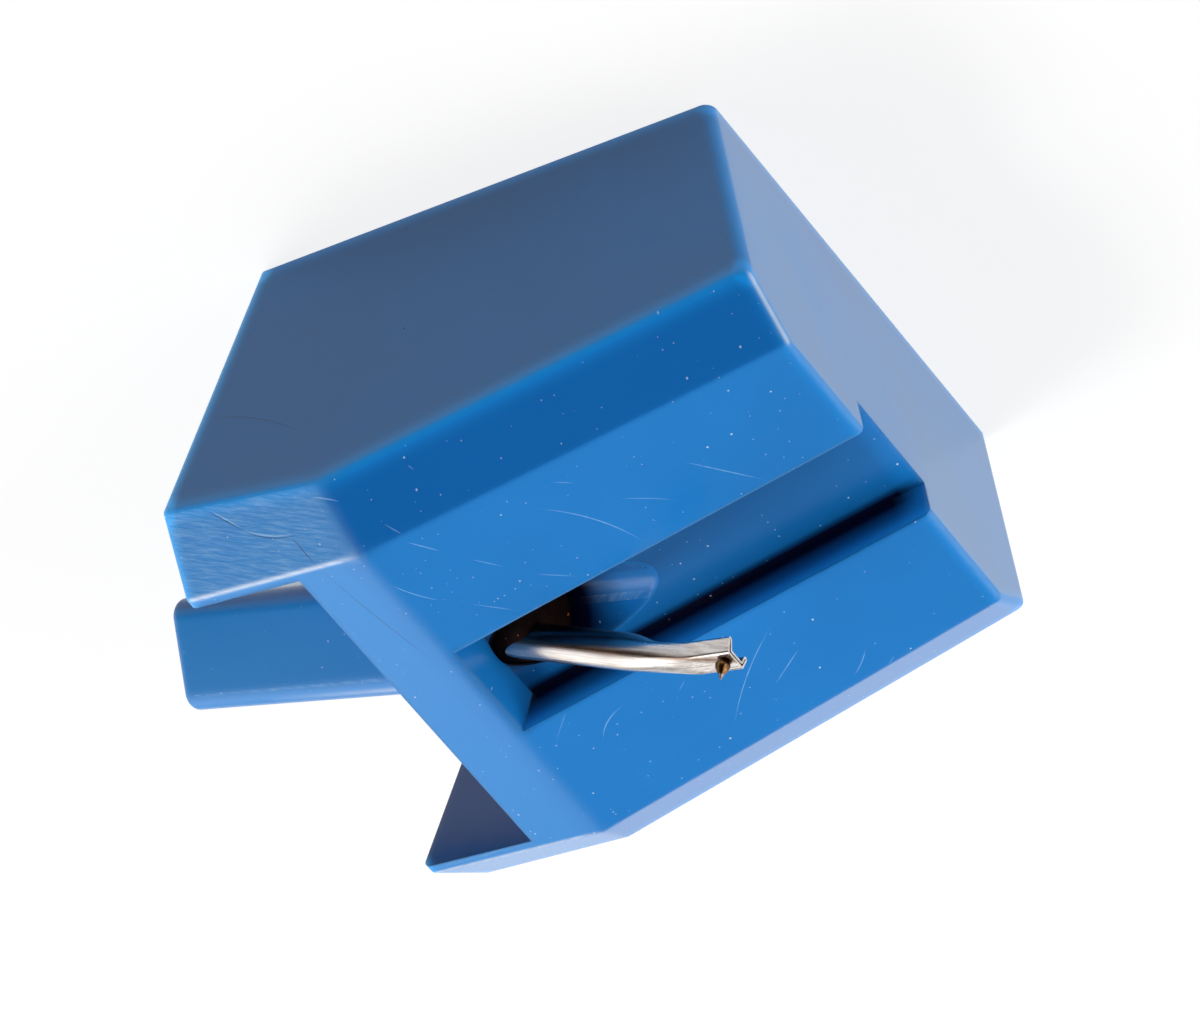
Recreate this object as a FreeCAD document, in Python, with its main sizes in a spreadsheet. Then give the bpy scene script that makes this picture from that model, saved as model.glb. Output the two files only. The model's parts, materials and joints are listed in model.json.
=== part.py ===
import FreeCAD, Part
import math
import os
import Sketcher

# Replacement phono stylus, lying on its open rim with the record side up.
# Each piece is drawn in a frame of its own: x runs forwards, z towards the record side.
# The holder's own frame starts at the front edge of its record face.

doc = FreeCAD.newDocument("stylus")
sheet = doc.addObject("Spreadsheet::Sheet", "Sizes")

# Lengths are in millimetres and angles in degrees
SIZES = (
    # holder: outer form
    ("front_width", 12.0),
    ("front_height", 6.5),
    ("side_flare", 2.75),
    ("face_tilt", 8.8),
    ("face_length", 10.33),
    ("ramp_angle", 18.8),
    ("wing_length", 4.46),
    ("chamfer_width", 1.46),
    ("chamfer_height", 1.09),
    ("wing_chamfer_width", 1.62),
    ("wing_chamfer_height", 1.13),
    ("front_round", 0.28),
    ("edge_round", 0.16),
    # holder: open inside
    ("inner_width", 9.56),
    ("front_wall", 1.4),
    ("plate_thickness", 2.0),
    ("plate_tail", 1.68),
    # holder: groove over the cantilever
    ("groove_width", 2.86),
    ("groove_depth", 0.96),
    ("groove_length", 9.8),
    ("groove_end_slope", 21.8),
    # holder: plug and the bore in it
    ("mouth_back", 7.92),
    ("plug_angle", 29.0),
    ("plug_length", 9.8),
    ("plug_root", 0.95),
    ("plug_side", 2.46),
    ("plug_round", 0.42),
    ("plug_end_round", 0.2),
    ("plug_draft", 0.7),
    ("plug_end_wall", 0.7),
    ("bore_radius", 0.96),
    # rubber bush in the bore
    ("bush_recess", 1.0),
    ("bush_length", 3.4),
    ("bush_clearance", 0.03),
    # cantilever tube
    ("pivot_depth", 3.05),
    ("pivot_lift", 0.195),
    ("tube_angle", 40.4),
    ("tube_radius", 0.42),
    ("tube_wall", 0.08),
    ("tube_tail", 2.3),
    ("tube_straight", 6.15),
    ("crimp_run", 1.05),
    ("crimp_drop", 0.06),
    ("crimp_bend", 14.0),
    ("crimp_length", 0.8),
    ("crimp_width", 0.84),
    ("crimp_foot", 0.64),
    ("crimp_height", 0.37),
    ("crimp_sheet", 0.11),
    # magnet in the tube's rear end
    ("magnet_length", 2.0),
    ("magnet_insert", 1.1),
    ("magnet_clearance", 0.01),
    # tip
    ("tip_along", 0.51),
    ("tip_rake", 8.0),
    ("tip_radius", 0.165),
    ("tip_barrel", 0.11),
    ("tip_rivet_radius", 0.11),
    ("tip_rivet_length", 0.24),
    ("tip_shoulder", 0.02),
    ("tip_clearance", 0.01),
    ("shank_height", 0.31),
    ("shank_neck_radius", 0.06),
    ("point_height", 0.14),
    ("point_radius", 0.018),
)
for row, (alias, number) in enumerate(SIZES, start=1):
    sheet.set("A%d" % row, alias)
    sheet.set("B%d" % row, str(number))
    sheet.setAlias("B%d" % row, alias)
doc.recompute()


def value(expression):
    return float(sheet.evalExpression(expression.replace("Sizes.", "")))


def step(start, rise, forward, up):
    # Point reached from start along a line that rises by the given angle, then square to it
    x = "%s + (%s) * cos(%s) - (%s) * sin(%s)" % (start[0], forward, rise, up, rise)
    z = "%s + (%s) * sin(%s) + (%s) * cos(%s)" % (start[1], forward, rise, up, rise)
    return x, z


# The rim lies on z = 0, with the origin in the middle of the front wall's rim
FACE_START = (
    "Sizes.front_height * sin(Sizes.face_tilt) + Sizes.front_wall / (2 * cos(Sizes.face_tilt))",
    "Sizes.front_height * cos(Sizes.face_tilt)",
)
FACE_RISE = "-Sizes.face_tilt"

# Points and lines that several pieces share, in the holder's frame
MOUTH = ("-Sizes.mouth_back", "-Sizes.groove_depth")
PLUG_END = step(MOUTH, "Sizes.plug_angle", "-Sizes.plug_length", "0")
PIVOT = step(MOUTH, "Sizes.plug_angle", "-Sizes.pivot_depth", "Sizes.pivot_lift")
CRIMP_RISE = "(Sizes.tube_angle - Sizes.crimp_bend)"
TUBE_REACH = "Sizes.tube_straight + Sizes.crimp_run"
CRIMP_START = step(PIVOT, "Sizes.tube_angle", TUBE_REACH, "-Sizes.crimp_drop")
TIP_SEAT = step(CRIMP_START, CRIMP_RISE, "Sizes.tip_along", "Sizes.crimp_height / 2")
TIP_RISE = "(Sizes.tube_angle - Sizes.crimp_bend - Sizes.tip_rake)"


def set_turn(owner, prop, axis, expression):
    # Turns about an axis, which is reversed where the angle would be negative
    if value(expression) < 0:
        axis = -axis
        expression = "-(%s)" % expression
    placement = getattr(owner, prop)
    placement.Rotation = FreeCAD.Rotation(axis, value(expression))
    setattr(owner, prop, placement)
    owner.setExpression(prop + ".Rotation.Angle", expression)


def new_body(label, point, rise):
    # A body whose frame starts at a point of the holder's frame and rises with the given angle
    body = doc.addObject("PartDesign::Body", label)
    body.Label = label
    x, z = step(FACE_START, FACE_RISE, point[0], point[1])
    set_turn(body, "Placement", FreeCAD.Vector(0, -1, 0), "%s + %s" % (rise, FACE_RISE))
    body.setExpression("Placement.Base.x", x)
    body.setExpression("Placement.Base.z", z)
    return body


def origin_plane(body, role):
    return [item for item in body.Origin.OriginFeatures if item.Role == role][0]


def new_sketch(body, name, role="XZ_Plane"):
    sketch = body.newObject("Sketcher::SketchObject", name)
    sketch.AttachmentSupport = [(origin_plane(body, role), "")]
    sketch.MapMode = "FlatFace"
    return sketch


def cross_sketch(body, name, point=("0", "0"), rise="0"):
    # A sketch square to a line in the symmetry plane: its x is sideways, its y the line's upper side
    sketch = new_sketch(body, name, "YZ_Plane")
    set_turn(sketch, "AttachmentOffset", FreeCAD.Vector(-1, 0, 0), rise)
    sketch.setExpression("AttachmentOffset.Base.z", point[0])
    sketch.setExpression("AttachmentOffset.Base.y", point[1])
    return sketch


def bind(sketch, constraint, expression):
    index = sketch.addConstraint(constraint)
    sketch.renameConstraint(index, "size%d" % index)
    sketch.setExpression("Constraints.size%d" % index, expression)


def pin(sketch, item, end, x, y=None):
    # Holds a point of the sketch at x, and at y where it is given, from the sketch's origin
    for kind, other_axis, expression in (("DistanceX", -2, x), ("DistanceY", -1, y)):
        if expression is None:
            continue
        number = value(expression)
        if abs(number) < 1e-9:
            sketch.addConstraint(Sketcher.Constraint("PointOnObject", item, end, other_axis))
        elif number > 0:
            bind(sketch, Sketcher.Constraint(kind, -1, 1, item, end, number), expression)
        else:
            bind(sketch, Sketcher.Constraint(kind, item, end, -1, 1, -number), "-(%s)" % expression)


def draw_outline(sketch, corners):
    points = [FreeCAD.Vector(value(x), value(y), 0) for x, y in corners]
    first = sketch.GeometryCount
    count = len(points)
    for index in range(count):
        sketch.addGeometry(Part.LineSegment(points[index], points[(index + 1) % count]))
    for index, (x, y) in enumerate(corners):
        after = (index + 1) % count
        sketch.addConstraint(Sketcher.Constraint("Coincident", first + index, 2, first + after, 1))
        pin(sketch, first + index, 1, x, y)


def draw_circle(sketch, radius, centre=("0", "0")):
    middle = FreeCAD.Vector(value(centre[0]), value(centre[1]), 0)
    item = sketch.addGeometry(Part.Circle(middle, FreeCAD.Vector(0, 0, 1), value(radius)))
    bind(sketch, Sketcher.Constraint("Radius", item, value(radius)), radius)
    pin(sketch, item, 3, *centre)


def draw_rounded_square(sketch, half_diagonal, radius):
    # A square that stands on one corner, with all four corners rounded
    reach = "(%s) - (%s) * sqrt(2)" % (half_diagonal, radius)
    centres = ((reach, "0"), ("0", reach), ("-(%s)" % reach, "0"), ("0", "-(%s)" % reach))
    spots = [FreeCAD.Vector(value(x), value(y), 0) for x, y in centres]
    size = value(radius)
    up = FreeCAD.Vector(0, 0, 1)
    ends = []
    for index, spot in enumerate(spots):
        middle_angle = index * math.pi / 2
        start = middle_angle - math.pi / 4
        stop = middle_angle + math.pi / 4
        sketch.addGeometry(Part.ArcOfCircle(Part.Circle(spot, up, size), start, stop))
        ends.append([spot + FreeCAD.Vector(math.cos(a), math.sin(a), 0) * size for a in (start, stop)])
    for index in range(4):
        sketch.addGeometry(Part.LineSegment(ends[index][1], ends[(index + 1) % 4][0]))
    for index in range(4):
        sketch.addConstraint(Sketcher.Constraint("Tangent", index, 2, 4 + index, 1))
        sketch.addConstraint(Sketcher.Constraint("Tangent", 4 + index, 2, (index + 1) % 4, 1))
        bind(sketch, Sketcher.Constraint("Radius", index, size), radius)
        pin(sketch, index, 3, *centres[index])


def draw_split_circle(sketch, radius, angles):
    # A full circle in arcs between the given angles, for lofting to an outline with as many corners
    size = value(radius)
    whole = Part.Circle(FreeCAD.Vector(), FreeCAD.Vector(0, 0, 1), size)
    for angle, next_angle in zip(angles, angles[1:] + angles[:1]):
        start = math.radians(angle)
        stop = start + math.radians((next_angle - angle) % 360)
        item = sketch.addGeometry(Part.ArcOfCircle(whole, start, stop))
        across = "(%s) * cos(%s)"
        pin(sketch, item, 3, "0", "0")
        pin(sketch, item, 1, across % (radius, angle), "(%s) * sin(%s)" % (radius, angle))
        pin(sketch, item, 2, across % (radius, next_angle))


def extrude(body, kind, name, sketch, length=None, side="Symmetric", reverse=False):
    # Pad or Pocket of a sketch; with no length it runs through the whole body
    doc.recompute()
    before = body.Shape.Volume if body.Tip else 0.0
    feature = body.newObject("PartDesign::" + kind, name)
    feature.Profile = sketch
    feature.SideType = side
    feature.Reversed = reverse
    if length is None:
        feature.Type = "ThroughAll"
    else:
        feature.setExpression("Length", length)
    doc.recompute()
    grown = body.Shape.Volume - before
    if (grown > 0) != (kind == "Pad") or abs(grown) < 1e-6:
        raise RuntimeError("%s of %s changed nothing" % (name, body.Label))
    return feature


def round_edges(body, name, radius, wanted):
    # Fillet on the edges whose ends and middle pass the test
    doc.recompute()
    chosen = []
    for index, edge in enumerate(body.Shape.Edges, start=1):
        local = [body.Placement.inverse().multVec(vertex.Point) for vertex in edge.Vertexes]
        if len(local) == 2 and wanted(local[0], local[1]):
            chosen.append("Edge%d" % index)
    feature = body.newObject("PartDesign::Fillet", name)
    feature.Base = (body.Tip if body.Tip != feature else feature.BaseFeature, chosen)
    feature.setExpression("Radius", radius)
    doc.recompute()
    return feature


# Holder: one moulding with record plate, front wall, two side wings and the inclined plug
REAR_LINE = "(90 + Sizes.plug_angle)"
WING_TIP = step(("-Sizes.face_length", "0"), "Sizes.ramp_angle", "-Sizes.wing_length", "0")
PLATE_TAIL = step(("-Sizes.face_length", "0"), "Sizes.ramp_angle", "-Sizes.plate_tail", "0")
STOCK = "Sizes.plate_thickness"
RIM_DROP = "(%s + Sizes.front_height - (%s) * tan(Sizes.face_tilt))" % (WING_TIP[1], WING_TIP[0])
REAR_RUN = "%s / (cos(Sizes.plug_angle) + sin(Sizes.plug_angle) * tan(Sizes.face_tilt))" % RIM_DROP
RIM_REAR = step(WING_TIP, REAR_LINE, "-(%s)" % REAR_RUN, "0")
STOCK_REAR = step(WING_TIP, REAR_LINE, "(%s - (%s)) / cos(Sizes.plug_angle)" % (STOCK, WING_TIP[1]), "0")
WHOLE_LENGTH = "(Sizes.face_length + Sizes.wing_length)"
STOCK_WIDTH = "Sizes.front_width + 4 * %s * tan(Sizes.side_flare)" % WHOLE_LENGTH


def add_block(body):
    # Side view from rim to record side, with stock left above the record face
    sketch = new_sketch(body, "side_view")
    draw_outline(sketch, (("0", "-Sizes.front_height"), ("0", STOCK), STOCK_REAR, RIM_REAR))
    extrude(body, "Pad", "block", sketch, STOCK_WIDTH)


def add_cavity(body):
    # Space for the cartridge's nose, open at the rim, at the rear and between the wings
    sketch = new_sketch(body, "cavity_view")
    below = "-(Sizes.front_height + 2 * Sizes.plate_thickness + %s * tan(Sizes.face_tilt))" % WHOLE_LENGTH
    behind = "-2 * %s" % WHOLE_LENGTH
    plate_end = "(Sizes.plate_thickness + (%s)) / cos(Sizes.plug_angle)" % PLATE_TAIL[1]
    plate_under = step(PLATE_TAIL, REAR_LINE, "-(%s)" % plate_end, "0")
    plate_over = step(PLATE_TAIL, REAR_LINE, "2 * %s" % STOCK, "0")
    draw_outline(sketch, (
        ("-Sizes.front_wall", below),
        ("-Sizes.front_wall", "-Sizes.plate_thickness"),
        plate_under,
        plate_over,
        (behind, plate_over[1]),
        (behind, below),
    ))
    extrude(body, "Pocket", "cavity", sketch, "Sizes.inner_width")


def add_plug(body):
    # Square plug that stands on its corner and grows out of the plate
    sketch = cross_sketch(body, "plug_section", PLUG_END, "Sizes.plug_angle")
    draw_rounded_square(sketch, "Sizes.plug_side / sqrt(2)", "Sizes.plug_round")
    plug = extrude(body, "Pad", "plug", sketch, "Sizes.plug_length + Sizes.plug_root", "One side")
    plug.setExpression("TaperAngle", "Sizes.plug_draft")


def trim_record_side(body):
    # Record face and the ramp behind it
    sketch = new_sketch(body, "record_side")
    ramp_end = step(("-Sizes.face_length", "0"), "Sizes.ramp_angle", "-2 * Sizes.wing_length", "0")
    above = "4 * %s" % STOCK
    draw_outline(sketch, (
        ("Sizes.front_wall", "0"),
        ("-Sizes.face_length", "0"),
        ramp_end,
        (ramp_end[0], above),
        ("Sizes.front_wall", above),
    ))
    extrude(body, "Pocket", "record_face", sketch)


def trim_side(body):
    # One side wall with its flare and two chamfers, then the same on the other side
    spare = "Sizes.front_wall"
    wall = "Sizes.front_width / 2"
    ahead = "%s - %s * tan(Sizes.side_flare)" % (wall, spare)
    rear = "%s + 2 * %s * tan(Sizes.side_flare)" % (wall, WHOLE_LENGTH)
    sketch = new_sketch(body, "flare_view", "XY_Plane")
    behind = "-2 * %s" % WHOLE_LENGTH
    draw_outline(sketch, ((spare, ahead), (spare, STOCK_WIDTH), (behind, STOCK_WIDTH), (behind, rear)))
    flare = extrude(body, "Pocket", "flare", sketch)

    sketch = new_sketch(body, "chamfer_section", "YZ_Plane")
    set_turn(sketch, "AttachmentOffset", FreeCAD.Vector(0, -1, 0), "Sizes.side_flare")
    sketch.setExpression("AttachmentOffset.Base.x", wall)
    draw_cut_corner(sketch, "0", "Sizes.chamfer_width", "Sizes.chamfer_height")
    chamfer = extrude(body, "Pocket", "chamfer", sketch)

    sketch = cross_sketch(body, "wing_chamfer_section", ("-Sizes.face_length", "0"), "Sizes.ramp_angle")
    crease_half = "%s + Sizes.face_length * tan(Sizes.side_flare)" % wall
    crease_half += " - Sizes.chamfer_width / cos(Sizes.side_flare) + Sizes.wing_chamfer_width"
    draw_cut_corner(sketch, crease_half, "Sizes.wing_chamfer_width", "Sizes.wing_chamfer_height")
    wing_chamfer = extrude(body, "Pocket", "wing_chamfer", sketch)

    mirrored = body.newObject("PartDesign::Mirrored", "other_side")
    mirrored.Originals = [flare, chamfer, wing_chamfer]
    mirrored.MirrorPlane = (origin_plane(body, "XZ_Plane"), [""])
    body.Tip = mirrored


def draw_cut_corner(sketch, wall, width, height):
    # Triangle that takes off the corner at the wall and runs past both ends of the chamfer
    draw_outline(sketch, (
        ("%s - 2 * %s" % (wall, width), height),
        ("%s + %s" % (wall, width), "-2 * %s" % height),
        ("%s + %s" % (wall, width), height),
    ))


def round_holder(body):
    # Full corners beside the front wall, then one radius along every other outer edge
    close = 1e-5
    rim_slope = math.tan(math.radians(value("Sizes.face_tilt")))
    inner_half = value("Sizes.inner_width / 2")
    height = value("Sizes.front_height")

    def on_rim(point):
        return abs(point.z + height - point.x * rim_slope) < close

    def upright(start, end):
        return abs(start.x - end.x) < close and abs(start.y - end.y) < close

    def outside(start, end):
        middle = (start + end) * 0.5
        return abs(middle.y) > inner_half + close and not (on_rim(start) and on_rim(end))

    def across(start, end):
        return abs(start.z) < close and abs(end.z) < close and abs(start.y + end.y) < close

    def front_corner(start, end):
        return upright(start, end) and outside(start, end) and abs(start.x) < close

    def outer_edge(start, end):
        return across(start, end) or (outside(start, end) and not upright(start, end))

    round_edges(body, "front_corners", "Sizes.front_round", front_corner)
    round_edges(body, "outer_edges", "Sizes.edge_round", outer_edge)


def round_plug_end(body):
    # Soft edge round the end of the plug
    angle = math.radians(value("Sizes.plug_angle"))
    along_plug = FreeCAD.Vector(math.cos(angle), 0, math.sin(angle))
    end = FreeCAD.Vector(value(PLUG_END[0]), 0, value(PLUG_END[1]))

    def on_end(start, stop):
        return all(abs((point - end).dot(along_plug)) < 1e-5 for point in (start, stop))

    round_edges(body, "plug_end", "Sizes.plug_end_round", on_end)


def cut_groove(body):
    # Groove that shelters the cantilever, open at the front and sloped at its rear end
    sketch = new_sketch(body, "groove_view")
    foot = ("-Sizes.groove_length", "-Sizes.groove_depth")
    end = step(foot, "(90 + Sizes.groove_end_slope)", "3 * Sizes.groove_depth", "0")
    draw_outline(sketch, (
        ("Sizes.front_wall", foot[1]),
        foot,
        end,
        ("Sizes.front_wall", end[1]),
    ))
    extrude(body, "Pocket", "groove", sketch, "Sizes.groove_width")


def cut_bore(body):
    # Blind bore from the groove floor down the plug
    bottom = step(PLUG_END, "Sizes.plug_angle", "Sizes.plug_end_wall", "0")
    sketch = cross_sketch(body, "bore_section", bottom, "Sizes.plug_angle")
    draw_circle(sketch, "Sizes.bore_radius")
    extrude(body, "Pocket", "bore", sketch, "2 * Sizes.plug_length", "One side", True)


def make_holder():
    body = new_body("holder", ("0", "0"), "0")
    add_block(body)
    add_cavity(body)
    add_plug(body)
    round_plug_end(body)
    trim_record_side(body)
    trim_side(body)
    round_holder(body)
    cut_groove(body)
    cut_bore(body)
    return body


def make_bush():
    # Rubber bush in the mouth of the bore, with a hole along the unloaded cantilever
    body = new_body("suspension_bush", MOUTH, "Sizes.plug_angle")
    sketch = cross_sketch(body, "bush_section", ("-Sizes.bush_recess", "0"))
    draw_circle(sketch, "Sizes.bore_radius - Sizes.bush_clearance")
    extrude(body, "Pad", "bush", sketch, "Sizes.bush_length", "One side", True)
    pivot = ("-Sizes.pivot_depth", "Sizes.pivot_lift")
    sketch = cross_sketch(body, "tube_hole_section", pivot, "(Sizes.tube_angle - Sizes.plug_angle)")
    draw_circle(sketch, "Sizes.tube_radius + Sizes.bush_clearance")
    extrude(body, "Pocket", "tube_hole", sketch)
    return body


CRIMP_ANGLES = (40, 140, 210, 225, 250, 290, 315, 330)


def crimp_corners():
    # Channel of doubled sheet: a flat foot on the record side and a raised wall on each side
    foot = "Sizes.crimp_foot / 2"
    wall = "Sizes.crimp_width / 2"
    half = "Sizes.crimp_height / 2"
    sheet_in = "(%s - Sizes.crimp_sheet)"
    floor = "%s - Sizes.crimp_sheet" % half
    right = (
        (foot, half),
        (wall, "-%s" % half),
        (sheet_in % wall, "-%s" % half),
        (sheet_in % foot, floor),
    )
    left = tuple(("-%s" % x, y) for x, y in right)
    return (right[0],) + left + right[:0:-1]


def make_tube():
    # Thin tube with its front end pressed flat and folded
    body = new_body("cantilever_tube", PIVOT, "Sizes.tube_angle")
    sketch = cross_sketch(body, "tube_section", ("-Sizes.tube_tail", "0"))
    draw_circle(sketch, "Sizes.tube_radius")
    extrude(body, "Pad", "tube", sketch, "Sizes.tube_tail + Sizes.tube_straight", "One side")
    sketch = cross_sketch(body, "inner_section", ("Sizes.tube_straight", "0"))
    draw_circle(sketch, "Sizes.tube_radius - Sizes.tube_wall")
    extrude(body, "Pocket", "inside", sketch, "2 * (Sizes.tube_tail + Sizes.tube_straight)", "One side")

    round_end = cross_sketch(body, "round_end", ("Sizes.tube_straight", "0"))
    draw_split_circle(round_end, "Sizes.tube_radius", CRIMP_ANGLES)
    crimp_at = (TUBE_REACH, "-Sizes.crimp_drop")
    flat_end = cross_sketch(body, "flat_end", crimp_at, "-Sizes.crimp_bend")
    draw_outline(flat_end, crimp_corners())
    doc.recompute()
    loft = body.newObject("PartDesign::AdditiveLoft", "pressed_run")
    loft.Profile = round_end
    loft.Sections = [flat_end]
    crimp = cross_sketch(body, "crimp_section", crimp_at, "-Sizes.crimp_bend")
    draw_outline(crimp, crimp_corners())
    extrude(body, "Pad", "crimp", crimp, "Sizes.crimp_length", "One side")

    tip_at = step(crimp_at, "-Sizes.crimp_bend", "Sizes.tip_along", "Sizes.crimp_height / 2")
    hole = new_sketch(body, "tip_hole_section", "XY_Plane")
    set_turn(hole, "AttachmentOffset", FreeCAD.Vector(0, 1, 0), "Sizes.crimp_bend + Sizes.tip_rake")
    hole.setExpression("AttachmentOffset.Base.x", tip_at[0])
    hole.setExpression("AttachmentOffset.Base.z", tip_at[1])
    draw_circle(hole, "Sizes.tip_rivet_radius + Sizes.tip_clearance")
    extrude(body, "Pocket", "tip_hole", hole)
    return body


def make_magnet():
    # Rod magnet held in the rear end of the tube
    body = new_body("magnet", PIVOT, "Sizes.tube_angle")
    sketch = cross_sketch(body, "magnet_section", ("-Sizes.tube_tail + Sizes.magnet_insert", "0"))
    draw_circle(sketch, "Sizes.tube_radius - Sizes.tube_wall - Sizes.magnet_clearance")
    extrude(body, "Pad", "magnet_rod", sketch, "Sizes.magnet_length", "One side", True)
    return body


def revolve(body, name, corners):
    sketch = new_sketch(body, name + "_profile")
    draw_outline(sketch, corners)
    doc.recompute()
    feature = body.newObject("PartDesign::Revolution", name)
    feature.Profile = sketch
    feature.ReferenceAxis = (sketch, ["V_Axis"])
    feature.Angle = 360.0
    doc.recompute()


def make_shank():
    # Ground metal cone that carries the point, riveted into the tube's flat end
    body = new_body("tip_shank", TIP_SEAT, TIP_RISE)
    revolve(body, "shank", (
        ("0", "-Sizes.tip_rivet_length"),
        ("Sizes.tip_rivet_radius", "-Sizes.tip_rivet_length"),
        ("Sizes.tip_rivet_radius", "Sizes.tip_shoulder"),
        ("Sizes.tip_radius", "Sizes.tip_shoulder"),
        ("Sizes.tip_radius", "Sizes.tip_barrel"),
        ("Sizes.shank_neck_radius", "Sizes.shank_height"),
        ("0", "Sizes.shank_height"),
    ))
    return body


def make_point():
    # Diamond point on the end of the shank
    body = new_body("diamond_point", TIP_SEAT, TIP_RISE)
    top = "Sizes.shank_height + Sizes.point_height"
    revolve(body, "point", (
        ("0", "Sizes.shank_height"),
        ("Sizes.shank_neck_radius", "Sizes.shank_height"),
        ("Sizes.point_radius", top),
        ("0", top),
    ))
    return body


pieces = [make_holder(), make_bush(), make_tube(), make_magnet(), make_shank(), make_point()]
doc.recompute()
for item in doc.Objects:
    if "Invalid" in item.State or "Error" in item.State:
        raise RuntimeError("failed: %s %s" % (item.Label, item.State))
for piece in pieces:
    if piece.Shape.isNull() or not piece.Shape.isValid() or len(piece.Shape.Solids) != 1:
        raise RuntimeError("bad shape: %s" % piece.Label)
os.makedirs("parts", exist_ok=True)
for piece in pieces:
    piece.Shape.exportStep("parts/%s.step" % piece.Label)
    box = piece.Shape.BoundBox
    print("%-16s volume %8.4f  x %.3f %.3f  y %.3f %.3f  z %.3f %.3f" % (
        piece.Label, piece.Shape.Volume, box.XMin, box.XMax, box.YMin, box.YMax, box.ZMin, box.ZMax))
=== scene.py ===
import json
import math
import bpy
from mathutils import Matrix, Vector


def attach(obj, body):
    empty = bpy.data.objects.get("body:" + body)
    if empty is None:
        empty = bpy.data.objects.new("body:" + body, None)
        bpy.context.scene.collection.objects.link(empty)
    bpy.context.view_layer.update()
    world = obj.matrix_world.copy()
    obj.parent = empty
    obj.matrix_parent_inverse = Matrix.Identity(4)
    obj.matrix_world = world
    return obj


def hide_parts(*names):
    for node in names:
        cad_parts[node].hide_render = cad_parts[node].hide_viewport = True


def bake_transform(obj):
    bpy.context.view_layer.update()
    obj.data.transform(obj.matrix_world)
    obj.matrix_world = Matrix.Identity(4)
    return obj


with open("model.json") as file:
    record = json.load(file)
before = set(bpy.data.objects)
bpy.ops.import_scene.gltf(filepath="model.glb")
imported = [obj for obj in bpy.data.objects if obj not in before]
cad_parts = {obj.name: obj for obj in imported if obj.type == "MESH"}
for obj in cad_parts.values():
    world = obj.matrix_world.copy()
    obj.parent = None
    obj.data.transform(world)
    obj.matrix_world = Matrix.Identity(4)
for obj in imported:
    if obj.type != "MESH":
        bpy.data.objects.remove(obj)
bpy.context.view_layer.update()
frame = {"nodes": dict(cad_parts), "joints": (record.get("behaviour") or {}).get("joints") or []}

bpy.ops.object.select_all(action="DESELECT")
bpy.context.scene.view_settings.view_transform = "Standard"
millimetre = 0.001
bevelSamples = 2
black = (0.0, 0.0, 0.0, 1.0)
sideways = Vector((0.0, 1.0, 0.0))
nodes = frame["nodes"]
joints = {joint["name"]: joint for joint in frame["joints"]}


class Wire:
    # an output socket, with arithmetic that adds Math nodes
    def __init__(self, paint, socket):
        self.paint = paint
        self.socket = socket

    def math(self, operation, *values):
        return self.paint.add("ShaderNodeMath", {"operation": operation}, values)

    def clip(self):
        return self.paint.add("ShaderNodeClamp", {}, [self])

    def size(self):
        return self.math("ABSOLUTE", self)

    def most(self, other):
        return self.math("MAXIMUM", self, other)

    def fade(self, none, full):
        # 0 where the value is none, 1 where it is full, and even between the two
        return ((self - none) * (1.0 / (full - none))).clip()

    def __add__(self, other):
        return self.math("ADD", self, other)

    def __sub__(self, other):
        return self.math("SUBTRACT", self, other)

    def __rsub__(self, other):
        return self.math("SUBTRACT", other, self)

    def __mul__(self, other):
        return self.math("MULTIPLY", self, other)

    def __gt__(self, other):
        return self.math("GREATER_THAN", self, other)

    def __lt__(self, other):
        return self.math("LESS_THAN", self, other)

    __radd__ = __add__
    __rmul__ = __mul__


# how strokes and specks are drawn, in shares unless a length is named
marks = {
    "strokeReach": 0.55,      # of a stroke's length, to either side of its middle
    "strokeDepth": 0.25,      # millimetres off its flat within which a stroke shows
    "strokeGain": 2.0,
    "leastSag": 0.03,         # millimetres; a stroke with less is straight
    "smallestSpeck": 0.25,    # of the largest one's radius
    "speckSharpness": 3.0,
}


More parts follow.
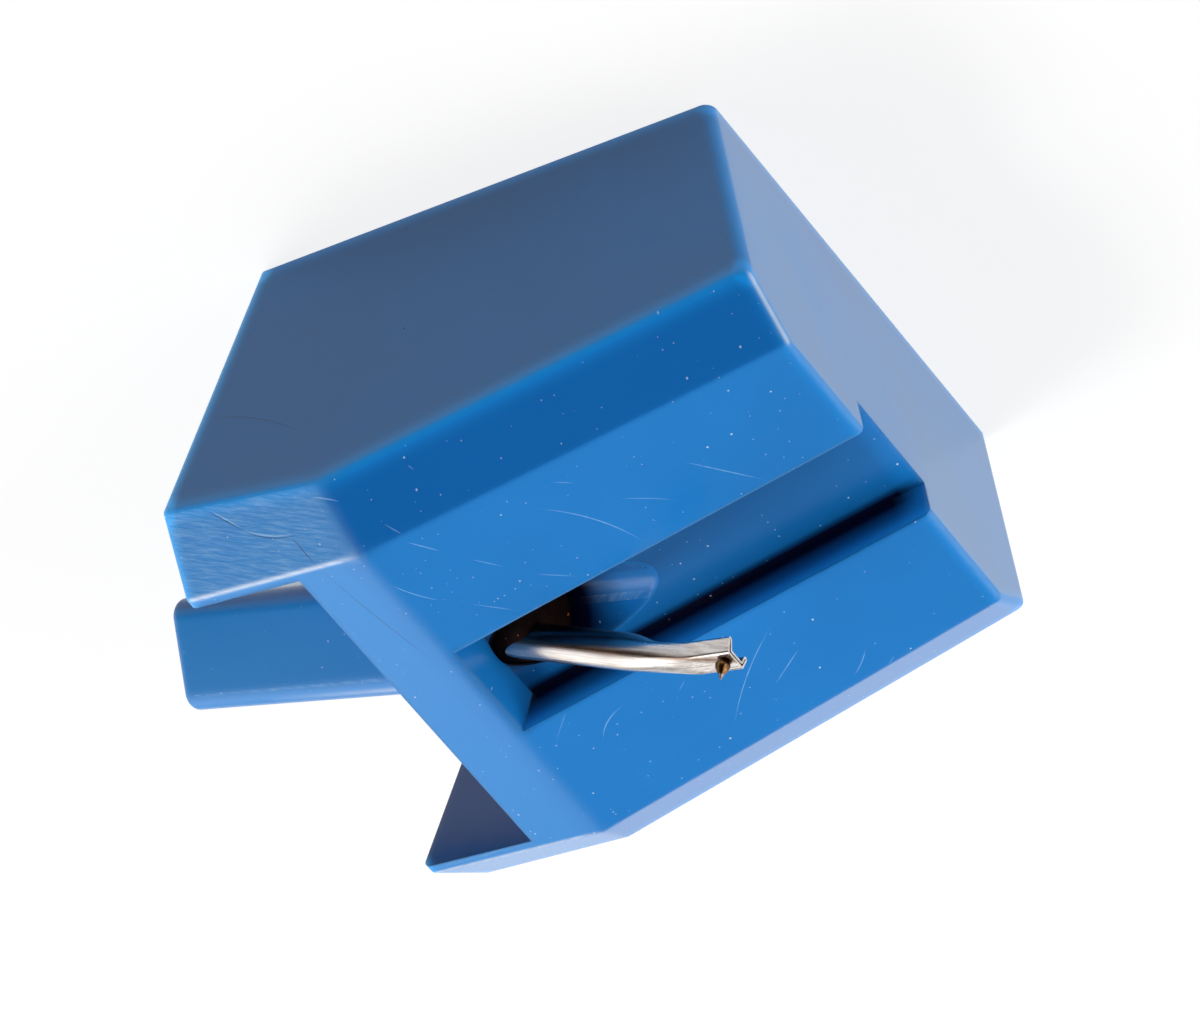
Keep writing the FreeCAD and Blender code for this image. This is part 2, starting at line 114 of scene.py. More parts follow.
class Paint:
    # the nodes of one material or of the world, all of them made by add
    def __init__(self, owner, shader, fixed):
        owner.use_nodes = True
        self.owner = owner
        self.tree = owner.node_tree
        self.shader = self.tree.nodes[shader]
        for socket, value in fixed.items():
            self.shader.inputs[socket].default_value = value

    def add(self, kind, settings, sockets, output=0):
        node = self.tree.nodes.new(kind)
        for name, value in settings.items():
            if name == "stops":
                self.setStops(node.color_ramp, value)
            else:
                setattr(node, name, value)
        pairs = sockets.items() if isinstance(sockets, dict) else enumerate(sockets)
        for key, value in pairs:
            if isinstance(value, Wire):
                self.tree.links.new(value.socket, node.inputs[key])
            else:
                node.inputs[key].default_value = value
        return Wire(self, node.outputs[output])

    def setStops(self, ramp, stops):
        while len(ramp.elements) < len(stops):
            ramp.elements.new(0.5)
        for element, (position, grey) in zip(ramp.elements, stops):
            element.position = position
            element.color = (grey, grey, grey, 1.0)

    def feed(self, socket, value):
        self.tree.links.new(value.socket, self.shader.inputs[socket])

    def vector(self, operation, first, second):
        return self.add("ShaderNodeVectorMath", {"operation": operation}, {0: first, 1: second})

    def dot(self, first, second):
        settings = {"operation": "DOT_PRODUCT"}
        return self.add("ShaderNodeVectorMath", settings, {0: first, 1: second}, "Value")

    def length(self, vector):
        return self.add("ShaderNodeVectorMath", {"operation": "LENGTH"}, [vector], "Value")

    def parts(self, vector):
        split = self.add("ShaderNodeSeparateXYZ", {}, [vector])
        return [Wire(self, output) for output in split.socket.node.outputs]

    def join(self, x, y, z):
        return self.add("ShaderNodeCombineXYZ", {}, [x, y, z])

    def mix(self, factor, first, second):
        return self.add("ShaderNodeMix", {"data_type": "RGBA"}, {0: factor, 6: first, 7: second}, 2)

    def ramp(self, value, *stops):
        return self.add("ShaderNodeValToRGB", {"stops": stops}, {0: value})

    def noise(self, place, scale, detail, roughness):
        sockets = {"Vector": place, "Scale": scale, "Detail": detail, "Roughness": roughness}
        return self.add("ShaderNodeTexNoise", {}, sockets)

    def patches(self, place, noise, stops):
        return self.ramp(self.noise(place, *noise), *stops)

    def millimetres(self, origin=(0.0, 0.0, 0.0), turn=(0.0, 0.0, 0.0)):
        # object coordinates in millimetres, about an origin and turned
        place = self.add("ShaderNodeTexCoord", {}, {}, "Object")
        moved = self.vector("SUBTRACT", place, Vector(origin) * millimetre)
        sockets = {0: moved, "Scale": 1.0 / millimetre}
        scaled = self.add("ShaderNodeVectorMath", {"operation": "SCALE"}, sockets)
        sockets = {"Vector": scaled, "Rotation": turn}
        return self.add("ShaderNodeVectorRotate", {"rotation_type": "EULER_XYZ"}, sockets)

    def specks(self, place, perMillimetre, share, radius):
        # round dots of uneven size in a share of the cells of a loose grid
        sockets = {"Vector": place, "Scale": perMillimetre}
        near = self.add("ShaderNodeTexVoronoi", {"voronoi_dimensions": "2D"}, sockets, "Distance")
        cell = Wire(self, near.socket.node.outputs["Color"])
        luck = self.add("ShaderNodeSeparateColor", {}, [cell], "Red")
        spread = self.add("ShaderNodeSeparateColor", {}, [cell], "Green")
        largest = radius * perMillimetre
        smallest = marks["smallestSpeck"]
        reach = (spread * (1.0 - smallest) + smallest) * largest
        return (luck < share) * ((reach - near) * (marks["speckSharpness"] / largest)).clip()

    def stroke(self, place, flat, begin, finish, sag, width):
        # a long thin soft spot on one of the holder's flats, bowed by its sag: 1 in its middle
        heading = finish - begin
        aside = flat.normal.cross(heading).normalized()
        axes = Matrix((heading.normalized(), aside, flat.normal)).transposed()
        local = self.add("ShaderNodeMapping", {"vector_type": "TEXTURE"}, {
            "Vector": place,
            "Location": (begin + finish) / 2,
            "Rotation": axes.to_euler(),
            "Scale": (heading.length * marks["strokeReach"], width, marks["strokeDepth"]),
        })
        if abs(sag) > marks["leastSag"]:
            run, offset, height = self.parts(local)
            bow = (1.0 - run * run) * (sag / width)
            local = self.join(run, offset - bow, height)
        return self.add("ShaderNodeTexGradient", {"gradient_type": "SPHERICAL"}, {"Vector": local}, 1)

    def strokes(self, place, flat, rows, width):
        # all the strokes of one kind on one flat
        total = 0.0
        for start, end, sag in rows:
            total = self.stroke(place, flat, flat.point(start), flat.point(end), sag, width) + total
        return (total * marks["strokeGain"]).clip()

    def height(self, place, flat):
        # how far a place lies outside a flat's plane
        return self.dot(place, flat.normal) - flat.normal.dot(flat.origin)

    def nearness(self, place, flat, reach):
        # 1 on a flat's plane or outside it, falling to 0 as deep inside it as the reach
        return self.height(place, flat).fade(-reach, 0.0)

    def bump(self, height, rounding=0.0):
        # height and rounding in millimetres; the rounding softens how edges catch the light
        sockets = {"Height": height, "Distance": millimetre}
        if rounding:
            radius = rounding * millimetre
            sockets["Normal"] = self.add("ShaderNodeBevel", {"samples": bevelSamples}, [radius])
        self.feed("Normal", self.add("ShaderNodeBump", {}, sockets))


def newPaint(name, fixed):
    return Paint(bpy.data.materials.new(name), "Principled BSDF", fixed)


def mottle(paint, place, look):
    # dark and bright clouds, rougher where they are bright
    cloud = paint.noise(place, *look["cloudNoise"])
    paint.feed("Roughness", look["gloss"] + cloud * look["cloudRoughness"])
    return paint.mix(paint.ramp(cloud, *look["cloudStops"]), look["dark"], look["bright"])


def dress(piece, paint):
    piece.data.materials.clear()
    piece.data.materials.append(paint.owner)


def takeUp(piece):
    # makes a piece the only one selected
    bpy.ops.object.select_all(action="DESELECT")
    piece.select_set(True)
    bpy.context.view_layer.objects.active = piece


def applyModifier(piece, kind, settings):
    modifier = piece.modifiers.new(kind.lower(), kind)
    for name, value in settings.items():
        setattr(modifier, name, value)
    bpy.ops.object.modifier_apply(modifier=modifier.name)


def smoothBelow(degrees):
    bpy.ops.object.shade_smooth_by_angle(angle=math.radians(degrees))


def roundAngles(sides):
    return [2 * math.pi * side / sides for side in range(sides)]


def drawnTube(name, rings):
    # a circle drawn out ring by ring, each ring then moved to its own outline
    sides = len(rings[0])
    bpy.ops.object.select_all(action="DESELECT")
    bpy.ops.mesh.primitive_circle_add(vertices=sides, radius=millimetre)
    piece = bpy.context.object
    piece.name = piece.data.name = name
    bpy.ops.object.mode_set(mode="EDIT")
    for _ in rings[1:]:
        bpy.ops.mesh.extrude_region_move(TRANSFORM_OT_translate={"value": (0, 0, millimetre)})
    bpy.ops.object.mode_set(mode="OBJECT")
    for vertex in piece.data.vertices:
        ring = round(vertex.co.z / millimetre)
        side = round(math.atan2(vertex.co.y, vertex.co.x) / (2 * math.pi) * sides) % sides
        vertex.co = rings[ring][side] * millimetre
    takeUp(piece)
    return piece


def closeEnds():
    bpy.ops.object.mode_set(mode="EDIT")
    bpy.ops.mesh.select_all(action="DESELECT")
    bpy.ops.mesh.select_non_manifold()
    bpy.ops.mesh.edge_face_add()
    bpy.ops.object.mode_set(mode="OBJECT")


def turnFacesOut():
    bpy.ops.object.mode_set(mode="EDIT")
    bpy.ops.mesh.select_all(action="SELECT")
    bpy.ops.mesh.normals_make_consistent(inside=False)
    bpy.ops.object.mode_set(mode="OBJECT")


# camera as in the photograph: a long lens from the front left, turned over
cameraPlace = {
    "location": (0.088646, 0.160859, 0.181583),
    "right": (0.86061, -0.50925, 0.00463),
    "up": (0.35399, 0.59164, -0.72434),
    "lens": 360.0,
    "sensor": 36.0,
    "nearest": 0.01,
    "farthest": 10.0,
}


def setCamera():
    right = Vector(cameraPlace["right"]).normalized()
    back = right.cross(Vector(cameraPlace["up"])).normalized()
    up = back.cross(right)
    data = bpy.data.cameras.new("photoCamera")
    data.lens = cameraPlace["lens"]
    data.sensor_width = cameraPlace["sensor"]
    data.clip_start = cameraPlace["nearest"]
    data.clip_end = cameraPlace["farthest"]
    camera = bpy.data.objects.new("photoCamera", data)
    bpy.context.scene.collection.objects.link(camera)
    turn = Matrix((right, up, back)).transposed().to_4x4()
    camera.matrix_world = Matrix.Translation(cameraPlace["location"]) @ turn
    bpy.context.scene.camera = camera
    print("camera set")


studio = {
    "worldStops": ((0.0, 0.36), (0.45, 0.2), (0.65, 0.05), (1.0, 0.02)),   # from -y to +y
    "floorSize": 4.0,
    "floorDrop": 0.00002,
    "floorRoughness": 0.9,
    "floorGrey": 0.3,         # as it lights the part
    "floorWhite": 0.2,        # as it is seen
    "floorGlow": 0.815,
    "aim": (-0.007, 0.0, 0.004),
    "lamps": (
        # name, place, width, height, power
        ("rearSoftbox", (-0.376, -0.045, 0.275), 0.62, 0.6, 1.95),
        ("rearLamp", (-0.277, -0.072, 0.347), 0.12, 0.12, 0.8),
        ("frontSpark", (0.33, 0.175, 0.26), 0.05, 0.05, 0.08),
        ("frontSoftbox", (0.42, -0.115, 0.15), 0.75, 0.28, 1.95),
    ),
}


def setWorld():
    world = bpy.data.worlds.new("softWorld")
    bpy.context.scene.world = world
    paint = Paint(world, "Background", {})
    direction = paint.add("ShaderNodeTexCoord", {}, {}, "Generated")
    sockets = {"Value": paint.parts(direction)[1], "From Min": -1.0}
    share = paint.add("ShaderNodeMapRange", {}, sockets)
    paint.feed("Color", paint.ramp(share, *studio["worldStops"]))


def setFloor():
    drop = (0, 0, -studio["floorDrop"])
    bpy.ops.mesh.primitive_plane_add(size=studio["floorSize"], location=drop)
    floor = bpy.context.object
    floor.name = "floor"
    paint = newPaint("paleFloor", {
        "Roughness": studio["floorRoughness"],
        "Specular IOR Level": 0.0,
        "Emission Strength": 1.0,
    })
    seen = 0.0
    for ray in ("Is Camera Ray", "Is Glossy Ray", "Is Transmission Ray"):
        seen = paint.add("ShaderNodeLightPath", {}, {}, ray) + seen
    seen = seen.clip()
    greys = [studio[name] for name in ("floorGrey", "floorWhite", "floorGlow")]
    grey, white, glow = [(level, level, level, 1.0) for level in greys]
    paint.feed("Base Color", paint.mix(seen, grey, white))
    paint.feed("Emission Color", paint.mix(seen, black, glow))
    dress(floor, paint)


def setLamps():
    for name, place, width, height, power in studio["lamps"]:
        data = bpy.data.lights.new(name, "AREA")
        data.shape = "RECTANGLE"
        data.size = width
        data.size_y = height
        data.energy = power
        lamp = bpy.data.objects.new(name, data)
        bpy.context.scene.collection.objects.link(lamp)
        lamp.location = place
        lamp.rotation_mode = "QUATERNION"
        lamp.rotation_quaternion = (Vector(studio["aim"]) - Vector(place)).to_track_quat("-Z", "Y")
    print("floor, world and lamps set")


class Flat:
    # a flat face of the holder, with its own two directions, in millimetres
    def __init__(self, origin, normal):
        self.origin = Vector(origin)
        self.normal = Vector(normal).normalized()
        self.along = (Vector((1, 0, 0)) - self.normal * self.normal.x).normalized()
        self.across = self.normal.cross(self.along)

    def point(self, spot):
        return self.origin + self.along * spot[0] + self.across * spot[1]


# the holder's flats that its finishes and marks follow, and the line of its bore
recordFlat = Flat((1.70, 0.0, 6.42), (0.153, 0.0, 0.988))
rampFlat = Flat((-8.51, 0.0, 8.0), (-0.174, 0.0, 0.985))
chamferFlat = Flat((-3.56, 5.51, 6.69), (0.151, 0.598, 0.787))
wingFlat = Flat((-10.61, 5.78, 7.11), (-0.142, 0.572, 0.808))
sideFlat = Flat((-5.41, 6.31, 3.24), (0.047, 0.999, -0.007))
frontFlat = Flat((1.43, 0.0, 4.67), (0.988, 0.0, -0.153))
rearFlat = Flat((-11.72, 5.49, 4.04), (-0.938, 0.0, -0.345))
rimFlat = Flat((0.0, 0.0, 0.0), (0.0, 0.0, -1.0))
wallFlats = (sideFlat, frontFlat, rearFlat, rimFlat)
boreMouth = Vector((-6.271, 0.0, 6.686))
plugDirection = Vector((0.9385, 0.0, 0.3453))

# lengths in millimetres; a noise is scale, detail and roughness; a fade is where it is 0 and where it is 1
bluePlastic = {
    "ior": 1.5,
    "gloss": 0.2,
    "deep": (0.007, 0.190, 0.56, 1.0),
    "bright": (0.009, 0.215, 0.63, 1.0),
    "flowNoise": (0.22, 3.0, 0.55),
    "flowStops": ((0.32, 0.0), (0.68, 1.0)),
    "flowRoughness": 0.05,
    # painted light: the faces behind the crease are made paler
    "rear": (0.012, 0.245, 0.66, 1.0),
    "rearShare": 0.75,
    "rearReach": 0.667,       # behind the crease
    # painted shade: the chamfer is made deeper
    "chamfer": (0.005, 0.15, 0.57, 1.0),
    "chamferShare": 0.6,
    "chamferFacing": 0.98,
    "facesUp": 0.2,           # least upward part of a normal on what dust settles on
    "facesSideways": 0.8,
    "waveNoise": (0.28, 0.0, 0.5),
    "waveHeight": 0.006,
    "rounding": 0.18,
    "creasePlace": -8.5,      # where the record plate turns down to the rear
    "creaseFade": (0.625, 0.0),
    "creaseFacing": 0.5,
    "creaseRounding": 0.3,
}


class HolderSpot:
    # what the plastic's finishes read about a point of the holder
    def __init__(self, paint):
        self.paint = paint
        self.place = paint.millimetres()
        self.x, self.y, self.z = paint.parts(self.place)
        self.aside = self.y.size()
        self.mirrored = paint.join(self.x, self.aside, self.z)   # both halves alike
        self.normal = paint.add("ShaderNodeNewGeometry", {}, {}, "Normal")
        across, self.upward = paint.parts(self.normal)[1:]
        self.sidelong = across.size() > bluePlastic["facesSideways"]
        self.facesUp = self.upward > bluePlastic["facesUp"]
        crease = bluePlastic["creasePlace"]
        self.behind = self.x.fade(crease, crease - bluePlastic["rearReach"]) * self.facesUp
        self.level = paint.height(self.place, recordFlat)
        self.slope = paint.height(self.place, rampFlat)

    def faces(self, flat, least):
        return self.paint.dot(self.normal, flat.normal) > least


# painted light: the outer edges are made paler and glow, standing in for light that soaks through the
# plastic
edgeLight = {
    "glow": (0.010, 0.30, 0.80, 1.0),
    "glowShare": 0.8,
    "glowReach": 0.4,
    "lit": (0.0, 0.055, 0.15, 1.0),
    "backlit": (0.03, 0.22, 0.42, 1.0),
    "backlitReach": 0.4,
}


def lightEdges(paint, spot, colour):
    look = edgeLight
    reach = look["glowReach"]
    total = paint.nearness(spot.mirrored, recordFlat, reach)
    for flat in (rampFlat, chamferFlat, wingFlat):
        total = total.most(paint.nearness(spot.mirrored, flat, reach))
    for flat in wallFlats:
        total = total + paint.nearness(spot.mirrored, flat, reach)
    edge = (total - 1.0).clip()
    glow = edge * edge
    backlit = edge * paint.nearness(spot.mirrored, rearFlat, look["backlitReach"])
    return paint.mix(glow * look["glowShare"], colour, look["glow"]), glow, backlit


# the wing's chamfer is frosted and combed by handling
wingFrost = {
    "frost": (0.20, 0.46, 0.80, 1.0),
    "facing": 0.985,
    "clearOfChamfer": 0.12,
    "cloudNoise": (1.1, 3.0, 0.6),
    "cloudStops": ((0.3, 0.45), (0.7, 1.0)),
    "combing": (0.89, -0.285, 0.356),
    "combLengthwise": 1.6,
    "combCrosswise": 13.0,
    "grainNoise": (1.0, 2.0, 0.75),
    "grainStops": ((0.42, 0.0), (0.72, 0.75)),
    "grainHeight": 0.009,
    "roughness": 0.14,
}


def frostWing(paint, spot, colour):
    look = wingFrost
    offChamfer = 1.0 - paint.nearness(spot.mirrored, chamferFlat, look["clearOfChamfer"])
    onWing = spot.faces(wingFlat, look["facing"]) * offChamfer
    frost = onWing * paint.patches(spot.place, look["cloudNoise"], look["cloudStops"])
    combing = Vector(look["combing"]).normalized()
    lengthwise = paint.dot(spot.mirrored, combing) * look["combLengthwise"]
    crosswise = paint.dot(spot.mirrored, wingFlat.normal.cross(combing)) * look["combCrosswise"]
    grain = paint.noise(paint.join(lengthwise, crosswise, 0.0), *look["grainNoise"])
    combed = frost * paint.ramp(grain, *look["grainStops"])
    return paint.mix(combed, colour, look["frost"]), frost, grain, onWing


# painted highlights: the wing's ridge, the chamfer's front edge and the plug's top edge are made pale
edgeHighlights = {
    "highlight": (0.80, 0.88, 0.96, 1.0),
    "ridgeReach": 0.06,
    "ridgeLeast": 0.45,
    "frontReach": 0.14,
    "frontGain": 2.2,
    "frontShare": 0.65,
    "plugAside": (0.111, 0.0),
    "plugAlong": (-14.0, -10.667),
    "plugBelow": -0.4,
    "plugShare": 0.4,
}


def paintEdgeHighlights(paint, spot, colour, grain):
    look = edgeHighlights
    reach = look["ridgeReach"]
    ridge = paint.nearness(spot.mirrored, wingFlat, reach) * paint.nearness(spot.mirrored, rampFlat, reach)
    ridge = ridge * ridge * spot.behind * (grain + look["ridgeLeast"])
    reach = look["frontReach"]
    front = paint.nearness(spot.place, chamferFlat, reach) * paint.nearness(spot.place, frontFlat, reach)
    front = (front * look["frontGain"]).clip()
    front = front * front
    plugTop = spot.aside.fade(*look["plugAside"]) * spot.x.fade(*look["plugAlong"])
    plugTop = plugTop * spot.behind * (spot.slope < look["plugBelow"])
    # painted highlights along the ridge, the chamfer's front edge and the plug's top edge
    highlight = ridge + front * front * look["frontShare"] + plugTop * look["plugShare"]
    return paint.mix(highlight.clip(), colour, look["highlight"])


# painted sheen: the front wall is paled in dull upright streaks
frontSheen = {
    "sheen": (0.42, 0.46, 0.24, 1.0),
    "facing": 0.97,
    "crosswise": 0.35,
    "lengthwise": 0.1,
    "streakNoise": (1.0, 1.0, 0.5),
    "streakStops": ((0.25, 0.06), (0.75, 0.14)),
}


def paintFrontSheen(paint, spot, colour):
    look = frontSheen
    upright = paint.join(spot.y * look["crosswise"], spot.z * look["lengthwise"], 0.0)
    streaks = paint.patches(upright, look["streakNoise"], look["streakStops"])
    return paint.mix(spot.faces(frontFlat, look["facing"]) * streaks, colour, look["sheen"])


# painted shade darkens the groove and the bore towards their depths, and the wings' inside walls; painted
# light makes the groove's walls glow near the top and the front, and a painted highlight runs along the
# groove's rim
grooveShade = {
    "shade": (0.001, 0.003, 0.03, 1.0),
    "rim": (0.20, 0.46, 0.80, 1.0),
    "wallLit": (0.0035, 0.062, 0.205, 1.0),
    "boreRadius": 1.0,
    "boreDepth": 8.6,
    "boreFade": (-0.833, 0.278),
    "halfWidth": 1.43,
    "withinAside": 1.5,
    "withinDepth": 1.2,
    "rear": -9.4,
    "skin": 0.01,             # keeps the shade off the plate's own face
    "floorFacing": 0.7,
    "wallFade": (-0.194, -0.75),
    "floorFade": (1.125, 1.4375),
    "floorLeast": 0.33,
    "frontReach": 0.6,
    "insideWall": 4.78,
    "insideReach": 0.03,
    "insideShare": 0.5,
    "litFade": (-0.526, 0.0),
    "litFrontReach": 0.8,
    "litFrontShare": 0.5,
    "rimFade": (0.0625, 0.0),
    "rimDepth": 0.05,
    "rimFacing": 0.5,
    "rimShare": 0.35,
}


def shadeGroove(paint, spot, colour):
    look = grooveShade
    fromMouth = paint.vector("SUBTRACT", spot.place, boreMouth)
    depth = paint.dot(fromMouth, -plugDirection)
    radius = paint.length(paint.vector("CROSS_PRODUCT", fromMouth, plugDirection))
    inBore = (radius < look["boreRadius"]) * (depth < look["boreDepth"])
    inGroove = (spot.aside < look["withinAside"]) * (spot.x > look["rear"]) * (1.0 - inBore)
    inGroove = inGroove * (spot.level < -look["skin"]) * (spot.level > -look["withinDepth"])
    inGroove = inGroove * (spot.slope < -look["skin"])
    onWall = inGroove * spot.sidelong
    onFloor = inGroove * (spot.upward > look["floorFacing"])
    shade = onWall * spot.level.fade(*look["wallFade"])
    shade = shade + onFloor * (spot.aside.fade(*look["floorFade"]) + look["floorLeast"])
    shade = shade + inBore * depth.fade(*look["boreFade"])
    shade = shade.clip() * (1.0 - paint.nearness(spot.place, frontFlat, look["frontReach"]))
    inside = spot.sidelong * ((spot.aside - look["insideWall"]).size() < look["insideReach"])
    # painted shade in the groove, the bore and on the wings' inside walls
    colour = paint.mix((shade + inside * look["insideShare"]).clip(), colour, look["shade"])
    # painted highlight along the groove's rim
    rim = (spot.y - look["halfWidth"]).size().fade(*look["rimFade"])
    rim = rim * (spot.level > -look["rimDepth"]) * (spot.slope < -look["rimDepth"])
    rim = rim * (spot.upward > look["rimFacing"]) * look["rimShare"]
    # painted light on the groove's walls, stronger near the top and the front
    top = spot.level.fade(*look["litFade"])
    front = paint.nearness(spot.place, frontFlat, look["litFrontReach"]) * look["litFrontShare"]
    return paint.mix(rim, colour, look["rim"]), onWall * (top * top + front).clip()


# scratches, the wing's crack, painted shadows beside two of the wing's scratches, and two hair lines; each
# row is start, end and sag on its flat
plasticMarks = {
    "scratch": (0.30, 0.56, 0.88, 1.0),
    "line": (0.004, 0.05, 0.19, 1.0),
    "scratchWidth": 0.016,
    "wingWidth": 0.02,
    "scratchShare": 0.6,
    "hairShare": 0.35,
    "wingShare": 0.9,
    "crackShare": 0.9,
    "lineShare": 0.6,
    "brokenStops": ((0.35, 0.4), (0.6, 1.0)),
    "recordScratches": (
        ((-3.46, 3.04), (-2.40, 1.62), 0.03),
        ((-6.66, 3.83), (-5.35, 1.67), 0.21),
        ((-4.36, -2.14), (-6.39, -4.06), -0.14),
        ((-8.04, -2.14), (-8.91, -2.71), -0.15),
        ((-10.23, 3.97), (-9.62, 2.92), -0.06),
        ((-9.33, 4.77), (-8.89, 4.11), 0.01),
        ((-4.26, -3.08), (-5.13, -3.62), -0.01),
        ((-3.11, -3.98), (-3.67, -4.47), 0.04),
    ),
    "recordHairs": (
        ((-5.10, 3.00), (-4.18, 2.25), 0.04),
        ((-6.00, 4.31), (-5.62, 3.98), 0.01),
        ((-8.51, 3.52), (-8.03, 2.87), 0.02),
        ((-9.17, 2.43), (-8.50, 1.68), -0.03),
        ((-7.63, 2.30), (-6.95, 1.69), 0.03),
        ((-2.67, -4.51), (-2.91, -4.66), 0.01),
        ((-9.16, -1.52), (-9.72, -2.07), -0.01),
        ((-6.64, -2.32), (-6.91, -2.51), -0.01),
    ),
    "chamferScratches": (
        ((-3.24, 0.20), (-3.16, 0.05), 0.01),
        ((-4.23, -0.75), (-3.97, -1.09), 0.0),
    ),
    "wingScratches": (
        ((1.65, 0.41), (2.20, 0.10), 0.04),
        ((-0.79, 1.00), (-0.19, 0.33), -0.02),
        ((-0.19, 0.33), (0.96, -0.15), -0.12),
    ),
    # the first row is the crack; the other two are painted shadows beside two of the wing's scratches
    "wingCrackAndShadows": (
        ((0.79, -0.18), (1.07, -1.00), -0.02),
        ((-0.80, 0.96), (-0.21, 0.29), -0.02),
        ((-0.20, 0.29), (0.92, -0.19), -0.12),
    ),
    "sideHair": (
        ((-6.05, -0.60), (-3.56, -2.25), 0.25),
    ),
    "rampHair": (
        ((-1.04, 5.04), (-0.32, 1.24), -0.06),
    ),
    "roughness": 0.3,
}


def scratchPlastic(paint, spot, colour, grain):
    look = plasticMarks
    width = look["scratchWidth"]
    strong = paint.strokes(spot.place, recordFlat, look["recordScratches"], width)
    strong = strong + paint.strokes(spot.place, chamferFlat, look["chamferScratches"], width)
    faint = paint.strokes(spot.place, recordFlat, look["recordHairs"], width)
    wing = paint.strokes(spot.place, wingFlat, look["wingScratches"], look["wingWidth"])
    scratches = strong * look["scratchShare"] + faint * look["hairShare"] + wing * look["wingShare"]
    scratches = (scratches * paint.ramp(grain, *look["brokenStops"])).clip()
    colour = paint.mix(scratches, colour, look["scratch"])
    crackAndShadows = paint.strokes(spot.place, wingFlat, look["wingCrackAndShadows"], width) * (1.0 - wing)
    hair = paint.strokes(spot.place, rampFlat, look["rampHair"], width)
    hair = hair + paint.strokes(spot.place, sideFlat, look["sideHair"], width)
    lines = (crackAndShadows * look["crackShare"] + hair * look["lineShare"]).clip()
    return paint.mix(lines, colour, look["line"]), scratches


# dust on what faces up, dark grit on the walls; specks are cells per millimetre, share and radius
plasticDust = {
    "dust": (0.60, 0.72, 0.86, 1.0),
    "dustShare": 0.8,
    "coarseDust": (1.6, 0.2, 0.03),
    "fineDust": (3.6, 0.16, 0.016),
    "grit": (0.02, 0.025, 0.04, 1.0),
    "gritSpecks": (0.9, 0.05, 0.03),
    "gritTurn": (math.radians(90), 0.0, 0.0),
}


def dustPlastic(paint, spot, colour):
    look = plasticDust
    dust = paint.specks(spot.place, *look["coarseDust"]) + paint.specks(spot.place, *look["fineDust"])
    dust = dust.clip() * spot.facesUp
    colour = paint.mix(dust * look["dustShare"], colour, look["dust"])
    upright = paint.millimetres(turn=look["gritTurn"])
    grit = paint.specks(upright, *look["gritSpecks"]) * (1.0 - spot.facesUp)
    return paint.mix(grit, colour, look["grit"]), dust


def makeBluePlastic():
    look = bluePlastic
    paint = newPaint("bluePlastic", {"IOR": look["ior"], "Emission Strength": 1.0})
    spot = HolderSpot(paint)

    # slow swirls left by the melt as it filled the mould; painted light makes the faces behind the crease
    # paler, and painted shade makes the chamfer deeper
    flow = paint.patches(spot.place, look["flowNoise"], look["flowStops"])
    colour = paint.mix(flow, look["deep"], look["bright"])
    colour = paint.mix(spot.behind * look["rearShare"], colour, look["rear"])
    onChamfer = spot.faces(chamferFlat, look["chamferFacing"])
    colour = paint.mix(onChamfer * look["chamferShare"], colour, look["chamfer"])

    colour, glow, backlit = lightEdges(paint, spot, colour)
    colour, frost, grain, onWing = frostWing(paint, spot, colour)
    # painted highlights along three edges
    colour = paintEdgeHighlights(paint, spot, colour, grain)
    # painted sheen on the front wall
    colour = paintFrontSheen(paint, spot, colour)
    # painted shade in the groove and bore, painted light on the groove's walls
    colour, wallLit = shadeGroove(paint, spot, colour)
    colour, scratches = scratchPlastic(paint, spot, colour, grain)
    colour, dust = dustPlastic(paint, spot, colour)
    paint.feed("Base Color", colour)

    # painted light: the outer edges, the groove's walls and the rear edges glow
    emission = paint.mix(glow, black, edgeLight["lit"])
    emission = paint.mix(wallLit, emission, grooveShade["wallLit"])
    paint.feed("Emission Color", paint.mix(backlit, emission, edgeLight["backlit"]))

    roughness = look["gloss"] + flow * look["flowRoughness"] + frost * wingFrost["roughness"]
    paint.feed("Roughness", roughness + (dust + scratches).clip() * plasticMarks["roughness"])

    height = paint.noise(spot.place, *look["waveNoise"]) * look["waveHeight"]
    height = height + onWing * grain * wingFrost["grainHeight"]
    crease = (spot.x - look["creasePlace"]).size().fade(*look["creaseFade"])
    crease = crease * (spot.upward > look["creaseFacing"])
    paint.bump(height, look["rounding"] + crease * look["creaseRounding"])
    return paint


holderShell = {
    "mergeGap": 0.0002,       # millimetres
    "flatAngle": 0.05,        # degrees
    "smoothAngle": 30.0,
}


def makeHolderShell():
    # a copy of the CAD mesh with its loose triangles merged and its flat faces made whole
    piece = bpy.data.objects.new("holderShell", nodes["holder"].data.copy())
    bpy.context.scene.collection.objects.link(piece)
    takeUp(piece)
    bpy.ops.mesh.customdata_custom_splitnormals_clear()
    bpy.ops.object.mode_set(mode="EDIT")
    bpy.ops.mesh.select_all(action="SELECT")
    bpy.ops.mesh.remove_doubles(threshold=holderShell["mergeGap"] * millimetre)
    bpy.ops.mesh.dissolve_limited(angle_limit=math.radians(holderShell["flatAngle"]))
    bpy.ops.mesh.select_all(action="DESELECT")
    bpy.ops.object.mode_set(mode="OBJECT")
    smoothBelow(holderShell["smoothAngle"])
    applyModifier(piece, "WEIGHTED_NORMAL", {"keep_sharp": True})
    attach(piece, "holder")
    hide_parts("holder")
    print("holder shell made:", len(piece.data.polygons), "faces")
    return piece


# the tube runs through the pivot of the vertical swing, in its own upright plane
pivot = Vector(joints["vertical_swing"]["pos_m"]) / millimetre

